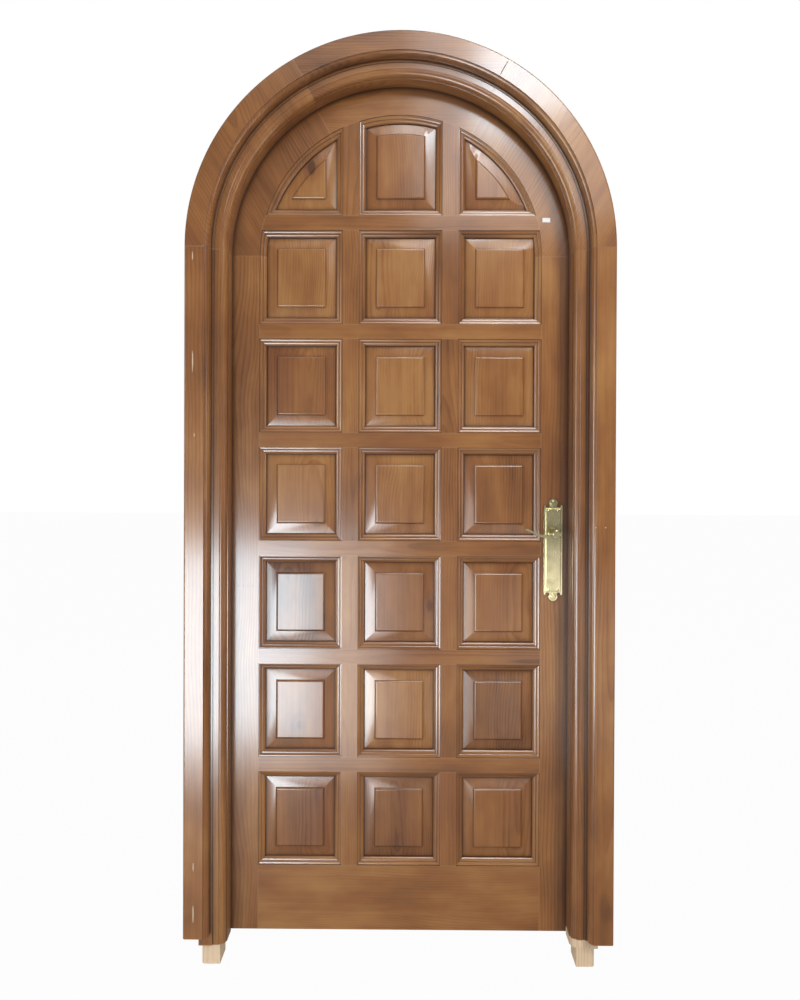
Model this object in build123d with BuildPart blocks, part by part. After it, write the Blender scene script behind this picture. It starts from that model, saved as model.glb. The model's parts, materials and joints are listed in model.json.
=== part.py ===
from build123d import *
from itertools import permutations
from math import asin, atan2, cos, degrees, pi, radians, sin, sqrt
import os

# Arched pine door in its frame: a leaf of three columns of raised panels under a half-round
# head, hung at the back of a rebated arched frame with an architrave round its front.
# Front is -Y, the leaf's front face is y = 0, and z = 0 is at the feet of the frame's horns.

# Leaf
leaf_width = 825.0
leaf_height = 2030.0
leaf_thickness = 45.0
stile_width = 74.5
bottom_rail_height = 155.0
cross_rail_height = 35.0
muntin_width = 38.0
top_row_height = 240.5
full_rows = 6

# Moulding worked on the edge of every opening, on both faces
lip = 16.5
quirk_depth = 1.8
bead_width = 7.5
bead_fall = 2.6
bead_step = 1.4
ovolo_fall = 5.4
groove_depth = 10.0
groove_width = 17.4

# Raised and fielded panels
panel_play = 1.5
tongue_gap = 0.2
bevel_width = 25.0
bevel_rise = 4.2
shoulder_width = 6.5
shoulder_height = 4.6

# Frame and architrave
edge_gap = 3.0
stop_overlap = 10.0
stop_gap = 1.0
jamb_width = 62.5
jamb_front = 65.0
jamb_bead_width = 5.4
jamb_bead_height = 3.0
jamb_flat_width = 13.5
jamb_quirk = 2.0
jamb_ovolo_depth = 14.0
jamb_fillet = 1.5
architrave_width = 56.6
architrave_thickness = 25.0
architrave_ovolo_width = 10.0
architrave_ovolo_depth = 17.0
architrave_quirk = 2.0
architrave_arris = 3.0
arch_segments = 3

# Heights
floor_line = 45.0
leaf_floor_gap = 5.0
left_architrave_lift = 28.0
right_architrave_lift = 21.0

# Horns left on the feet of the jambs
horn_width = 42.5
horn_depth = 60.0
horn_front_setback = 5.0
horn_chamfer = 5.0

# Hinges
hinge_height = 100.0
hinge_plate_depth = 30.0
hinge_plate_thickness = 2.5
knuckle_radius = 6.5
pin_radius = 4.0
pin_fit = 0.05
pin_head_radius = 5.5
pin_head_height = 3.0
knuckle_play = 0.4
knuckle_clear = 0.5
hinge_heights = (220.0, 850.0, 1480.0)
hinge_screw_spacing = 34.0
screw_radius = 1.9
screw_head_radius = 4.0
screw_length = 24.0
screw_fit = 0.05

# Latch, spindle and handles
backset = 45.0
spindle_height = 957.0
spindle_side = 8.0
spindle_fit = 0.1
spindle_bore_radius = 10.5
case_thickness = 18.0
case_wall = 1.5
case_fit = 0.5
case_below = 16.0
case_above = 36.0
case_behind = 19.0
forend_length = 130.0
forend_width = 20.0
forend_thickness = 3.0
forend_lift = 10.0
follower_radius = 11.0
follower_side_gap = 0.3
journal_radius = 8.0
journal_fit = 0.05
lug_radius = 16.0
lug_width = 5.0
lever_swing = 40.0
bolt_throw = 11.0
bolt_thickness = 14.0
bolt_height = 20.0
bolt_lift = 22.0
bolt_clearance = 0.4
bolt_head_length = 19.0
tail_thickness = 6.0
tail_height = 8.0
hook_thickness = 4.0
hook_gap = 0.9
strike_length = 120.0
strike_width = 22.0
strike_thickness = 2.0
strike_clearance = 1.0
strike_pocket_depth = 12.0

plate_length = 244.0
plate_width = 44.5
plate_base = 2.5
plate_rise = 2.5
plate_border = 4.0
plate_drop = 41.0
lobe_radius = 11.0
ear_radius = 3.2
notch_radius = 4.6
rose_radius = 12.5
rose_height = 5.0
neck_radius = 8.0
neck_clearance = 0.3
lever_projection = 55.0
lever_depth = 17.0
lever_blade = 5.5
lever_reach = 70.0
lever_dip = 5.0
lever_dip_at = 0.43
lever_tip_rise = 11.0
lever_hub_radius = 10.0
hub_edge = 2.5
socket_depth = 28.0

# Places worked out from the sizes above
leaf_radius = leaf_width / 2
field_radius = leaf_radius - stile_width
leaf_base = floor_line + leaf_floor_gap
leaf_top = leaf_base + leaf_height
spring = leaf_top - leaf_radius
opening_width = (2 * field_radius - 2 * muntin_width) / 3
top_row_base = leaf_top - stile_width - top_row_height
first_row_base = leaf_base + bottom_rail_height
row_pitch = (top_row_base - first_row_base) / full_rows
opening_height = row_pitch - cross_rail_height
mid_thickness = leaf_thickness / 2
overcut = 1.0

rebate_radius = leaf_radius + edge_gap
reveal_radius = leaf_radius - stop_overlap
jamb_radius = reveal_radius + jamb_width
architrave_inner = reveal_radius + jamb_fillet + jamb_ovolo_depth
architrave_inner = architrave_inner + jamb_quirk + jamb_flat_width + jamb_bead_width
architrave_outer = architrave_inner + architrave_width

pin_x = -(leaf_radius + rebate_radius) / 2
pin_y = leaf_thickness + knuckle_radius + knuckle_clear
spindle_x = leaf_radius - backset
spindle_z = leaf_base + spindle_height
bolt_z = spindle_z + bolt_lift
arch_axis = Axis((0, 0, spring), (0, -1, 0))

os.makedirs("parts", exist_ok=True)


def save(solid, name):
    """Label a finished piece and write it under that name."""
    solid.label = name
    export_step(solid, f"parts/{name}.step")


def elevation(y):
    """Plane seen from the front at depth y: its x is X and its y is Z."""
    return Plane.XZ.offset(-y)


def radial_plane(angle):
    """Plane through the arch's axis at an angle up from the right: its x runs outwards."""
    turn = radians(angle)
    return Plane(
        origin=(0, 0, spring),
        x_dir=(cos(turn), 0, sin(turn)),
        z_dir=(-sin(turn), 0, cos(turn)),
    )


def row_base(row):
    """Height of the bottom of a row of openings, counted from the floor up."""
    return first_row_base + row * row_pitch


def field_half(z, inset=0.0):
    """Half the width between the stiles, or inside the head, at height z."""
    radius = field_radius - inset
    if z <= spring:
        return radius
    return sqrt(radius**2 - (z - spring) ** 2)


def arch_height(x, inset=0.0):
    """Height of the head's inner edge at a distance x from the middle."""
    return spring + sqrt((field_radius - inset) ** 2 - x**2)


def opening_sides(column, z, inset=0.0):
    """The two sides of an opening at height z, moved inwards by inset."""
    if column == 0:
        half = opening_width / 2 - inset
        return -half, half
    near = opening_width / 2 + muntin_width + inset
    far = field_half(z, inset)
    return (near, far) if column > 0 else (-far, -near)


def arch_point(radius, angle):
    """Point at an angle on a circle about the arch's centre, in elevation."""
    return radius * cos(radians(angle)), spring + radius * sin(radians(angle))


def arch_arc(start, end):
    """Arc about the arch's centre between two points in elevation."""
    radius = sqrt(start[0] ** 2 + (start[1] - spring) ** 2)
    first = atan2(start[1] - spring, start[0])
    last = atan2(end[1] - spring, end[0])
    return ThreePointArc(start, arch_point(radius, degrees(first + last) / 2), end)


def front_edge(at):
    """The moulding on the front of an opening's side, in to the middle of the leaf.

    at(u, v) places a point u in from the opening's side and v behind the leaf's front.
    """
    bead_end = quirk_depth + bead_fall
    ovolo_start = bead_end + bead_step
    ovolo_end = ovolo_start + ovolo_fall
    ovolo_width = lip - bead_width
    Line(at(0, -overcut), at(0, quirk_depth))
    ThreePointArc(
        at(0, quirk_depth),
        at(0.62 * bead_width, quirk_depth + 0.3 * bead_fall),
        at(bead_width, bead_end),
    )
    Line(at(bead_width, bead_end), at(bead_width, ovolo_start))
    ThreePointArc(
        at(bead_width, ovolo_start),
        at(bead_width + 0.64 * ovolo_width, ovolo_start + 0.34 * ovolo_fall),
        at(lip, ovolo_end),
    )
    Line(at(lip, ovolo_end), at(lip, mid_thickness))
    return (0, -overcut), (lip, mid_thickness)


def groove_edge(at):
    """The groove's floor, for the panel's tongue."""
    floor = lip - groove_depth
    groove_front = mid_thickness - groove_width / 2
    groove_back = mid_thickness + groove_width / 2
    Line(at(floor, groove_front), at(floor, groove_back))
    return (floor, groove_front), (floor, groove_back)


def panel_edge(at):
    """Side of a panel from front to back: shoulder, bevel and the tongue in its groove."""
    tongue_front = mid_thickness - groove_width / 2 + tongue_gap
    tongue_end = lip - groove_depth + panel_play
    bevel_start = lip
    bevel_end = bevel_start + bevel_width
    bevel_top = tongue_front - bevel_rise
    field_start = bevel_end + shoulder_width
    field_front = bevel_top - shoulder_height

    def face(v):
        ThreePointArc(
            at(field_start, v(field_front)),
            at(
                bevel_end + 0.28 * shoulder_width,
                v(bevel_top - 0.7 * shoulder_height),
            ),
            at(bevel_end, v(bevel_top)),
        )
        Line(at(bevel_end, v(bevel_top)), at(bevel_start, v(tongue_front)))
        Line(at(bevel_start, v(tongue_front)), at(tongue_end, v(tongue_front)))

    face(lambda depth: depth)
    face(lambda depth: leaf_thickness - depth)
    Line(at(tongue_end, tongue_front), at(tongue_end, leaf_thickness - tongue_front))
    return (field_start, field_front), (field_start, leaf_thickness - field_front)


def section(edge, low, high, point):
    """Closed section between two sides, drawn by edge; None is a plain side out of reach.

    An edge draws one side and returns the two ends that it leaves open.
    """
    far = 2 * leaf_height
    with BuildLine() as outline:
        sides = []
        for side, inward in ((low, 1), (high, -1)):
            if side is None:
                sides.append(None)
                continue
            ends = edge(lambda u, v, s=side, k=inward: point(s + k * u, v))
            sides.append([(side + inward * u, v) for u, v in ends])
        low_ends, high_ends = sides
        if low is None:
            low_ends = [(-far, v) for a, v in high_ends]
            Line(point(*low_ends[0]), point(*low_ends[1]))
        if high is None:
            high_ends = [(far, v) for a, v in low_ends]
            Line(point(*high_ends[0]), point(*high_ends[1]))
        Line(point(*low_ends[0]), point(*high_ends[0]))
        Line(point(*low_ends[1]), point(*high_ends[1]))
    make_face(outline.edges())


def whole_field(edge):
    """Everything between the stiles and under the head, with edge worked all round."""
    with BuildPart() as field:
        with BuildSketch(Plane.XY.offset(spring)):
            with BuildLine():
                ends = edge(lambda u, v: (field_radius - u, v))
                for u, v in ends:
                    Line((0, v), (field_radius - u, v))
                Line((0, ends[0][1]), (0, ends[1][1]))
            make_face()
        revolve(axis=arch_axis, revolution_arc=180)
        with BuildSketch(Plane.XY.offset(spring)):
            section(edge, -field_radius, field_radius, lambda a, v: (a, v))
        extrude(amount=-opening_height * 2)
    return field.part


def opening_lengths(edge, column, row):
    """The upright and the level length whose overlap has an opening's sides."""
    top_row = row == full_rows
    base = row_base(row)
    left, right = opening_sides(column, base)
    if is_arched(column, row) and column < 0:
        left = None
    with BuildPart() as upright:
        with BuildSketch(Plane.XY.offset(base - overcut)):
            section(edge, left, right, lambda a, v: (a, v))
        extrude(amount=(top_row_height if top_row else opening_height) + 2 * overcut)
    with BuildPart() as level:
        with BuildSketch(Plane.YZ.offset(-leaf_width)):
            top = None if top_row else base + opening_height
            section(edge, base, top, lambda a, v: (v, a))
        extrude(amount=2 * leaf_width)
    return upright.part, level.part


def is_arched(column, row):
    """Whether an opening runs up into the head."""
    return row == full_rows or (column != 0 and row == full_rows - 1)


def shared(first, second):
    """What two solids share, or None where their overlap comes out empty."""
    found = None
    if first is not None:
        found = first.intersect(second)
    if isinstance(found, list):
        found = found[0] if found else None
    return found


def overlap(solids):
    """What three solids share, taken in the first order that leaves a solid."""
    for first, second, third in permutations(solids):
        block = shared(shared(first, second), third)
        if block is not None and block.volume > 0:
            return block
    raise ValueError("the lengths of an opening share nothing")


def opening_block(edge, column, row, field):
    """The solid that fills one opening, its sides drawn by edge and mitred at the corners."""
    upright, level = opening_lengths(edge, column, row)
    if not is_arched(column, row):
        return shared(upright, level)
    return overlap((upright, level, field))


columns = {-1: "left", 0: "centre", 1: "right"}
edges = {"front": front_edge, "groove": groove_edge, "panel": panel_edge}
fields = {kind: whole_field(edges[kind]) for kind in edges}
blocks = {kind: {} for kind in edges}
for kind, made in blocks.items():
    for row in range(full_rows + 1):
        for column in (-1, 0):
            made[row, column] = opening_block(edges[kind], column, row, fields[kind])
        made[row, 1] = mirror(made[row, -1], about=Plane.YZ)
middle_plane = Plane.XZ.offset(-mid_thickness)
voids = {}
for row, column in blocks["front"]:
    front = blocks["front"][row, column]
    back = mirror(front, about=middle_plane)
    voids[row, column] = [front, back, blocks["groove"][row, column]]
for row, column in blocks["panel"]:
    save(blocks["panel"][row, column], f"panel_row{row + 1}_{columns[column]}")


def cut_voids(rows, sides=(-1, 0, 1)):
    """Cut the openings of some rows and columns out of the piece in hand."""
    for row in rows:
        for column in sides:
            add(voids[row, column], mode=Mode.SUBTRACT)


def rail_lips(z, direction, columns_here=(-1, 0, 1)):
    """Mitred strips of moulding that stand off a rail's edge into the openings."""
    z_in = z + direction * lip
    for column in columns_here:
        a, b = opening_sides(column, z)
        c, d = opening_sides(column, z_in, lip)
        with BuildLine() as outline:
            Polyline((a, z), (b, z), (d, z_in), (c, z_in), close=True)
        make_face(outline.edges())


def disc_at(radius, height_limit=0.0):
    """Outline of the field: a half disc over a strip down to the floor."""
    with Locations((0, spring)):
        Circle(radius)
    with Locations((0, spring)):
        Rectangle(2 * radius, spring - height_limit, align=(Align.CENTER, Align.MAX))


# Rails
with BuildPart() as bottom_rail:
    with BuildSketch(elevation(leaf_thickness)):
        with Locations((0, leaf_base)):
            Rectangle(
                2 * field_radius, bottom_rail_height, align=(Align.CENTER, Align.MIN)
            )
        rail_lips(first_row_base, 1)
    extrude(amount=leaf_thickness)
    cut_voids([0])
save(bottom_rail.part, "bottom_rail")

for rail in range(full_rows):
    rail_top = row_base(rail + 1)
    rail_foot = rail_top - cross_rail_height
    with BuildPart() as cross_rail:
        with BuildSketch(elevation(leaf_thickness)):
            with Locations((0, rail_foot)):
                Rectangle(
                    2 * field_radius, cross_rail_height, align=(Align.CENTER, Align.MIN)
                )
            with BuildSketch(mode=Mode.INTERSECT):
                disc_at(field_radius)
            rail_lips(rail_top, 1)
            rail_lips(rail_foot, -1)
        extrude(amount=leaf_thickness)
        cut_voids([rail, rail + 1])
    save(cross_rail.part, f"cross_rail_{rail + 1}")


# Stiles
def stile(side):
    """A stile from the floor to the spring line, with its mouldings, before its hardware."""
    inner = field_radius - lip
    with BuildPart() as post:
        with BuildSketch(elevation(leaf_thickness)):
            with Locations((side * field_radius, leaf_base)):
                Rectangle(
                    stile_width,
                    spring - leaf_base,
                    align=(Align.MIN if side > 0 else Align.MAX, Align.MIN),
                )
            for row in range(full_rows):
                low = row_base(row)
                high = low + opening_height
                with BuildLine():
                    Polyline(
                        (side * field_radius, low),
                        (side * field_radius, high),
                        (side * inner, high - lip),
                        (side * inner, low + lip),
                        close=True,
                    )
                make_face()
            with Locations((0, spring)):
                Rectangle(
                    2 * leaf_width,
                    leaf_width,
                    align=(Align.CENTER, Align.MIN),
                    mode=Mode.SUBTRACT,
                )
        extrude(amount=leaf_thickness)
        cut_voids(range(full_rows), (side,))
    return post.part


# Head of the leaf
def head_lip(outer_a, inner_a, outer_b, inner_b):
    """Strip of moulding along the head between two mitres, in elevation."""
    with BuildLine() as outline:
        arch_arc(outer_a, outer_b)
        Line(outer_b, inner_b)
        arch_arc(inner_b, inner_a)
        Line(inner_a, outer_a)
    make_face(outline.edges())


def head_lips():
    """The head's mouldings over the five openings that meet it."""
    half = opening_width / 2
    near = half + muntin_width
    outer = (half, arch_height(half))
    inner = (half - lip, arch_height(half - lip, lip))
    head_lip(outer, inner, (-outer[0], outer[1]), (-inner[0], inner[1]))
    side_top = row_base(full_rows - 1) + opening_height
    for side in (-1, 1):
        head_lip(
            (side * near, arch_height(near)),
            (side * (near + lip), arch_height(near + lip, lip)),
            (side * field_half(top_row_base), top_row_base),
            (side * field_half(top_row_base + lip, lip), top_row_base + lip),
        )
        head_lip(
            (side * field_half(side_top), side_top),
            (side * field_half(side_top - lip, lip), side_top - lip),
            (side * field_radius, spring),
            (side * (field_radius - lip), spring),
        )


segment_angle = 180 / arch_segments
segment_names = ("right", "crown", "left")


def keep_wedge(index):
    """Keep only one segment of the arch of the sketch in hand."""
    first = index * segment_angle
    reach = 2 * leaf_radius
    with BuildLine() as outline:
        Polyline(
            (0, spring),
            arch_point(reach, first),
            arch_point(reach, first + segment_angle),
            close=True,
        )
    make_face(outline.edges(), mode=Mode.INTERSECT)


for index, name in enumerate(segment_names):
    with BuildPart() as head_segment:
        with BuildSketch(elevation(leaf_thickness)):
            with Locations((0, spring)):
                Circle(leaf_radius)
                Circle(field_radius, mode=Mode.SUBTRACT)
            head_lips()
            keep_wedge(index)
        extrude(amount=leaf_thickness)
        if name == "crown":
            split(bisect_by=Plane.YZ, keep=Keep.BOTTOM)
            cut_voids([full_rows], (-1, 0))
            mirror(about=Plane.YZ)
        else:
            side = 1 if name == "right" else -1
            cut_voids([full_rows - 1, full_rows], (side,))
    save(head_segment.part, f"head_{name}")


# Muntins: short uprights between the rails, one solid for each row
def muntin_outline(side, row):
    """A muntin in elevation, widened by its mouldings and mitred at its corners."""
    near = opening_width / 2
    far = near + muntin_width
    low = row_base(row)
    inner_near = near - lip
    inner_far = far + lip
    with BuildLine() as outline:
        if row < full_rows:
            high = low + opening_height
            Polyline(
                (side * inner_near, high - lip),
                (side * near, high),
                (side * far, high),
                (side * inner_far, high - lip),
            )
            top_near = high - lip
            top_far = high - lip
        else:
            top_near = arch_height(inner_near, lip)
            top_far = arch_height(inner_far, lip)
            Line((side * inner_near, top_near), (side * near, arch_height(near)))
            arch_arc(
                (side * near, arch_height(near)), (side * far, arch_height(far))
            )
            Line((side * far, arch_height(far)), (side * inner_far, top_far))
        Polyline(
            (side * inner_far, top_far),
            (side * inner_far, low + lip),
            (side * far, low),
            (side * near, low),
            (side * inner_near, low + lip),
            (side * inner_near, top_near),
        )
    make_face(outline.edges())


for side, name in ((-1, "muntins_left"), (1, "muntins_right")):
    with BuildPart() as muntins:
        with BuildSketch(elevation(leaf_thickness)):
            for row in range(full_rows + 1):
                muntin_outline(side, row)
        extrude(amount=leaf_thickness)
        cut_voids(range(full_rows + 1), (side, 0))
    save(muntins.part, name)


# Frame: rebated jambs, the arch between them and the architrave on their front
def jamb_profile(side):
    """Section of the jamb, from its outer side to the stop and the rebate behind it."""
    ovolo_out = reveal_radius + jamb_fillet + jamb_ovolo_depth
    ovolo_front = -jamb_front + jamb_bead_height + jamb_quirk
    ovolo_back = ovolo_front + jamb_ovolo_depth
    flat_out = ovolo_out + jamb_quirk + jamb_flat_width
    turn = sqrt(0.5)
    with BuildLine() as outline:
        Polyline(
            (side * (reveal_radius + jamb_fillet), ovolo_back),
            (side * reveal_radius, ovolo_back),
            (side * reveal_radius, -stop_gap),
            (side * rebate_radius, -stop_gap),
            (side * rebate_radius, leaf_thickness),
            (side * jamb_radius, leaf_thickness),
            (side * jamb_radius, -jamb_front),
            (side * flat_out, -jamb_front),
            (side * flat_out, -jamb_front + jamb_bead_height),
            (side * (flat_out - jamb_flat_width), -jamb_front + jamb_bead_height),
            (side * ovolo_out, ovolo_front),
        )
        ThreePointArc(
            (side * ovolo_out, ovolo_front),
            (
                side * (ovolo_out - jamb_ovolo_depth * turn),
                ovolo_back - jamb_ovolo_depth * turn,
            ),
            (side * (reveal_radius + jamb_fillet), ovolo_back),
        )
    make_face(outline.edges())


def architrave_profile(side):
    """Section of the architrave, its ovolo on the inner edge and an arris outside."""
    front = -jamb_front - architrave_thickness
    ovolo_front = front + architrave_quirk
    ovolo_back = ovolo_front + architrave_ovolo_depth
    ovolo_in = architrave_inner + architrave_quirk / 2
    ovolo_out = ovolo_in + architrave_ovolo_width
    turn = sqrt(0.5)
    with BuildLine() as outline:
        Polyline(
            (side * ovolo_in, ovolo_back),
            (side * architrave_inner, ovolo_back),
            (side * architrave_inner, -jamb_front),
            (side * architrave_outer, -jamb_front),
            (side * architrave_outer, front + architrave_arris),
            (side * (architrave_outer - architrave_arris), front),
            (side * ovolo_out, front),
            (side * ovolo_out, ovolo_front),
        )
        ThreePointArc(
            (side * ovolo_out, ovolo_front),
            (
                side * (ovolo_out - architrave_ovolo_width * turn),
                ovolo_back - architrave_ovolo_depth * turn,
            ),
            (side * ovolo_in, ovolo_back),
        )
    make_face(outline.edges())


def leg(profile, side, foot):
    """A straight length of a frame profile from its foot to the spring line."""
    with BuildPart() as post:
        with BuildSketch(Plane.XY.offset(foot)):
            profile(side)
        extrude(amount=spring - foot)
    return post.part


def arch_piece(profile, index):
    """One segment of the arch with a frame profile."""
    with BuildPart() as segment:
        with BuildSketch(radial_plane(index * segment_angle)):
            profile(1)
        revolve(axis=arch_axis, revolution_arc=segment_angle)
    return segment.part


def jamb_with_horn(side):
    """A jamb with the horn left on its foot."""
    with BuildPart() as post:
        add(leg(jamb_profile, side, floor_line))
        with BuildSketch(Plane.XY) as horn:
            with Locations((side * rebate_radius, horn_front_setback - jamb_front)):
                Rectangle(
                    horn_width,
                    horn_depth,
                    align=(Align.MIN if side > 0 else Align.MAX, Align.MIN),
                )
            outer = horn.vertices().sort_by(Axis.X)[-2:]
            if side < 0:
                outer = horn.vertices().sort_by(Axis.X)[:2]
            chamfer(outer, horn_chamfer)
        extrude(amount=floor_line)
    return post.part


for index in range(arch_segments):
    save(arch_piece(jamb_profile, index), f"arch_jamb_{segment_names[index]}")
    save(
        arch_piece(architrave_profile, index),
        f"architrave_arch_{segment_names[index]}",
    )
left_foot = floor_line + left_architrave_lift
right_foot = floor_line + right_architrave_lift
save(leg(architrave_profile, -1, left_foot), "architrave_left")
save(leg(architrave_profile, 1, right_foot), "architrave_right")


# Hinges at the back of the left edge: plates let in, knuckles proud of the back
hinge_base = [leaf_base + height - hinge_height / 2 for height in hinge_heights]
plate_front_y = leaf_thickness - hinge_plate_depth
knuckle_height = hinge_height / 3


def hinge_plate(face, direction, base, height, grow=0.0):
    """A hinge plate let into a face, thickening in the given X direction."""
    with BuildPart() as flap:
        with BuildSketch(Plane.XY.offset(base - grow)):
            with Locations((face, plate_front_y - grow)):
                Rectangle(
                    hinge_plate_thickness,
                    pin_y - plate_front_y + grow,
                    align=(Align.MIN if direction > 0 else Align.MAX, Align.MIN),
                )
        extrude(amount=height + 2 * grow)
    return flap.part


def screw_heights(base):
    """Heights of the three screws of a hinge plate."""
    middle = base + hinge_height / 2
    return [middle + step * hinge_screw_spacing for step in (-1, 0, 1)]


def hinge_flap(face, direction, knuckles):
    """One flap on each hinge: its plate, its knuckles, the bore and the screw holes."""
    with BuildPart() as flaps:
        for base in hinge_base:
            add(hinge_plate(face, direction, base, hinge_height))
            with Locations((pin_x, pin_y, base)):
                Cylinder(
                    knuckle_radius + knuckle_clear,
                    hinge_height,
                    align=(Align.CENTER, Align.CENTER, Align.MIN),
                    mode=Mode.SUBTRACT,
                )
            for slot in knuckles:
                low = base + slot * knuckle_height
                with BuildSketch(Plane.XY.offset(low + knuckle_play / 2)):
                    with Locations((pin_x, pin_y)):
                        Circle(knuckle_radius)
                    with Locations((face, plate_front_y)):
                        Rectangle(
                            hinge_plate_thickness,
                            pin_y - plate_front_y,
                            align=(
                                Align.MIN if direction > 0 else Align.MAX,
                                Align.MIN,
                            ),
                        )
                    with Locations((pin_x, pin_y)):
                        Circle(pin_radius, mode=Mode.SUBTRACT)
                extrude(amount=knuckle_height - knuckle_play)
            for height in screw_heights(base):
                middle_y = plate_front_y + hinge_plate_depth / 2
                with Locations(Plane((face, middle_y, height), z_dir=(-direction, 0, 0))):
                    CounterSinkHole(
                        screw_radius + screw_fit,
                        screw_head_radius + screw_fit,
                        depth=hinge_plate_thickness,
                        counter_sink_angle=90,
                    )
    return flaps.part


def hinge_screws(face, direction):
    """Countersunk screws of one side, three in each plate."""
    middle_y = plate_front_y + hinge_plate_depth / 2
    cone = screw_head_radius - screw_radius
    with BuildPart() as screws:
        for base in hinge_base:
            for height in screw_heights(base):
                with BuildSketch(
                    Plane((face, middle_y, height), x_dir=(direction, 0, 0), z_dir=(0, 0, 1))
                ):
                    with BuildLine():
                        Polyline(
                            (0, 0),
                            (0, screw_head_radius),
                            (cone, screw_radius),
                            (screw_length - screw_radius, screw_radius),
                            (screw_length, 0),
                            close=True,
                        )
                    make_face()
                revolve(axis=Axis((face, middle_y, height), (1, 0, 0)))
    return screws.part


def screw_pilots(face, direction):
    """Holes in the timber for the screws of one side."""
    middle_y = plate_front_y + hinge_plate_depth / 2
    for base in hinge_base:
        for height in screw_heights(base):
            with Locations(Plane((face, middle_y, height), z_dir=(direction, 0, 0))):
                Cylinder(
                    screw_radius + screw_fit,
                    screw_length + overcut,
                    align=(Align.CENTER, Align.CENTER, Align.MIN),
                    mode=Mode.SUBTRACT,
                )


save(hinge_flap(-rebate_radius, -1, (0, 2)), "hinge_frame_leaves")
save(hinge_flap(-leaf_radius, 1, (1,)), "hinge_door_leaves")
save(hinge_screws(-rebate_radius, -1), "frame_screws")
save(hinge_screws(-leaf_radius, 1), "leaf_screws")

with BuildPart() as hinge_pins:
    for base in hinge_base:
        with BuildSketch(Plane((pin_x, pin_y, base), x_dir=(1, 0, 0), z_dir=(0, -1, 0))):
            with BuildLine():
                Polyline(
                    (0, -pin_head_height),
                    (pin_head_radius, -pin_head_height),
                    (pin_head_radius, 0),
                    (pin_radius - pin_fit, 0),
                    (pin_radius - pin_fit, hinge_height),
                    (pin_head_radius, hinge_height),
                    (pin_head_radius, hinge_height + pin_head_height),
                    (0, hinge_height + pin_head_height),
                    close=True,
                )
            make_face()
        revolve(axis=Axis((pin_x, pin_y, 0), (0, 0, 1)))
save(hinge_pins.part, "hinge_pins")

with BuildPart() as hinge_stile:
    add(stile(-1))
    for base in hinge_base:
        add(hinge_plate(-leaf_radius, 1, base, hinge_height), mode=Mode.SUBTRACT)
    screw_pilots(-leaf_radius, 1)
save(hinge_stile.part, "hinge_stile")

with BuildPart() as hinge_jamb:
    add(jamb_with_horn(-1))
    for base in hinge_base:
        add(hinge_plate(-rebate_radius, -1, base, hinge_height), mode=Mode.SUBTRACT)
    screw_pilots(-rebate_radius, -1)
save(hinge_jamb.part, "hinge_jamb")


# Mortice latch: case, forend, follower, bolt, and the strike in the jamb
def block(x_range, y_range, z_range, mode=Mode.ADD):
    """A plain box given by its ranges."""
    with Locations((x_range[0], y_range[0], z_range[0])):
        Box(
            x_range[1] - x_range[0],
            y_range[1] - y_range[0],
            z_range[1] - z_range[0],
            align=(Align.MIN, Align.MIN, Align.MIN),
            mode=mode,
        )


def about(middle, size):
    """Range of a size centred on a middle."""
    return middle - size / 2, middle + size / 2


forend_back = leaf_radius - forend_thickness
case_x = (spindle_x - case_behind, forend_back)
case_y = about(mid_thickness, case_thickness)
case_z = (spindle_z - case_below, spindle_z + case_above)
room_y = about(mid_thickness, case_thickness - 2 * case_wall)
bolt_y = about(mid_thickness, bolt_thickness)
bolt_room_y = about(mid_thickness, bolt_thickness + 2 * bolt_clearance)
bolt_room_z = about(bolt_z, bolt_height + 2 * bolt_clearance)
forend_z = about(spindle_z + forend_lift, forend_length)
forend_y = about(mid_thickness, forend_width)
spindle_plane = Plane((spindle_x, 0, spindle_z), x_dir=(1, 0, 0), z_dir=(0, -1, 0))

with BuildPart() as lock_case:
    block(case_x, case_y, case_z)
    block(
        (case_x[0] + case_wall, case_x[1] - case_wall),
        room_y,
        (case_z[0] + case_wall, case_z[1] - case_wall),
        mode=Mode.SUBTRACT,
    )
    block((case_x[1] - case_wall, case_x[1]), room_y, bolt_room_z, mode=Mode.SUBTRACT)
    with BuildSketch(spindle_plane.offset(-leaf_thickness)):
        Circle(journal_radius + journal_fit)
    extrude(amount=leaf_thickness, mode=Mode.SUBTRACT)
save(lock_case.part, "lock_case")

with BuildPart() as forend:
    block((forend_back, leaf_radius), forend_y, forend_z)
    block((forend_back, leaf_radius), bolt_room_y, bolt_room_z, mode=Mode.SUBTRACT)
save(forend.part, "forend")

lug_angle = lever_swing / 2
lug_plane = Plane(
    (spindle_x, 0, spindle_z),
    x_dir=(sin(radians(lug_angle)), 0, cos(radians(lug_angle))),
    z_dir=(0, -1, 0),
)
with BuildPart() as lock_follower:
    with BuildSketch(spindle_plane.offset(-room_y[1] + follower_side_gap)):
        Circle(follower_radius)
    extrude(amount=room_y[1] - room_y[0] - 2 * follower_side_gap)
    with BuildSketch(lug_plane.offset(-about(mid_thickness, tail_thickness)[1])):
        Rectangle(lug_radius, lug_width, align=(Align.MIN, Align.CENTER))
    extrude(amount=tail_thickness)
    with BuildSketch(spindle_plane.offset(-case_y[1])):
        Circle(journal_radius)
    extrude(amount=case_thickness)
    with BuildSketch(spindle_plane.offset(-case_y[1])):
        Rectangle(spindle_side + spindle_fit, spindle_side + spindle_fit)
    extrude(amount=case_thickness, mode=Mode.SUBTRACT)
save(lock_follower.part, "lock_follower")

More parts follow.
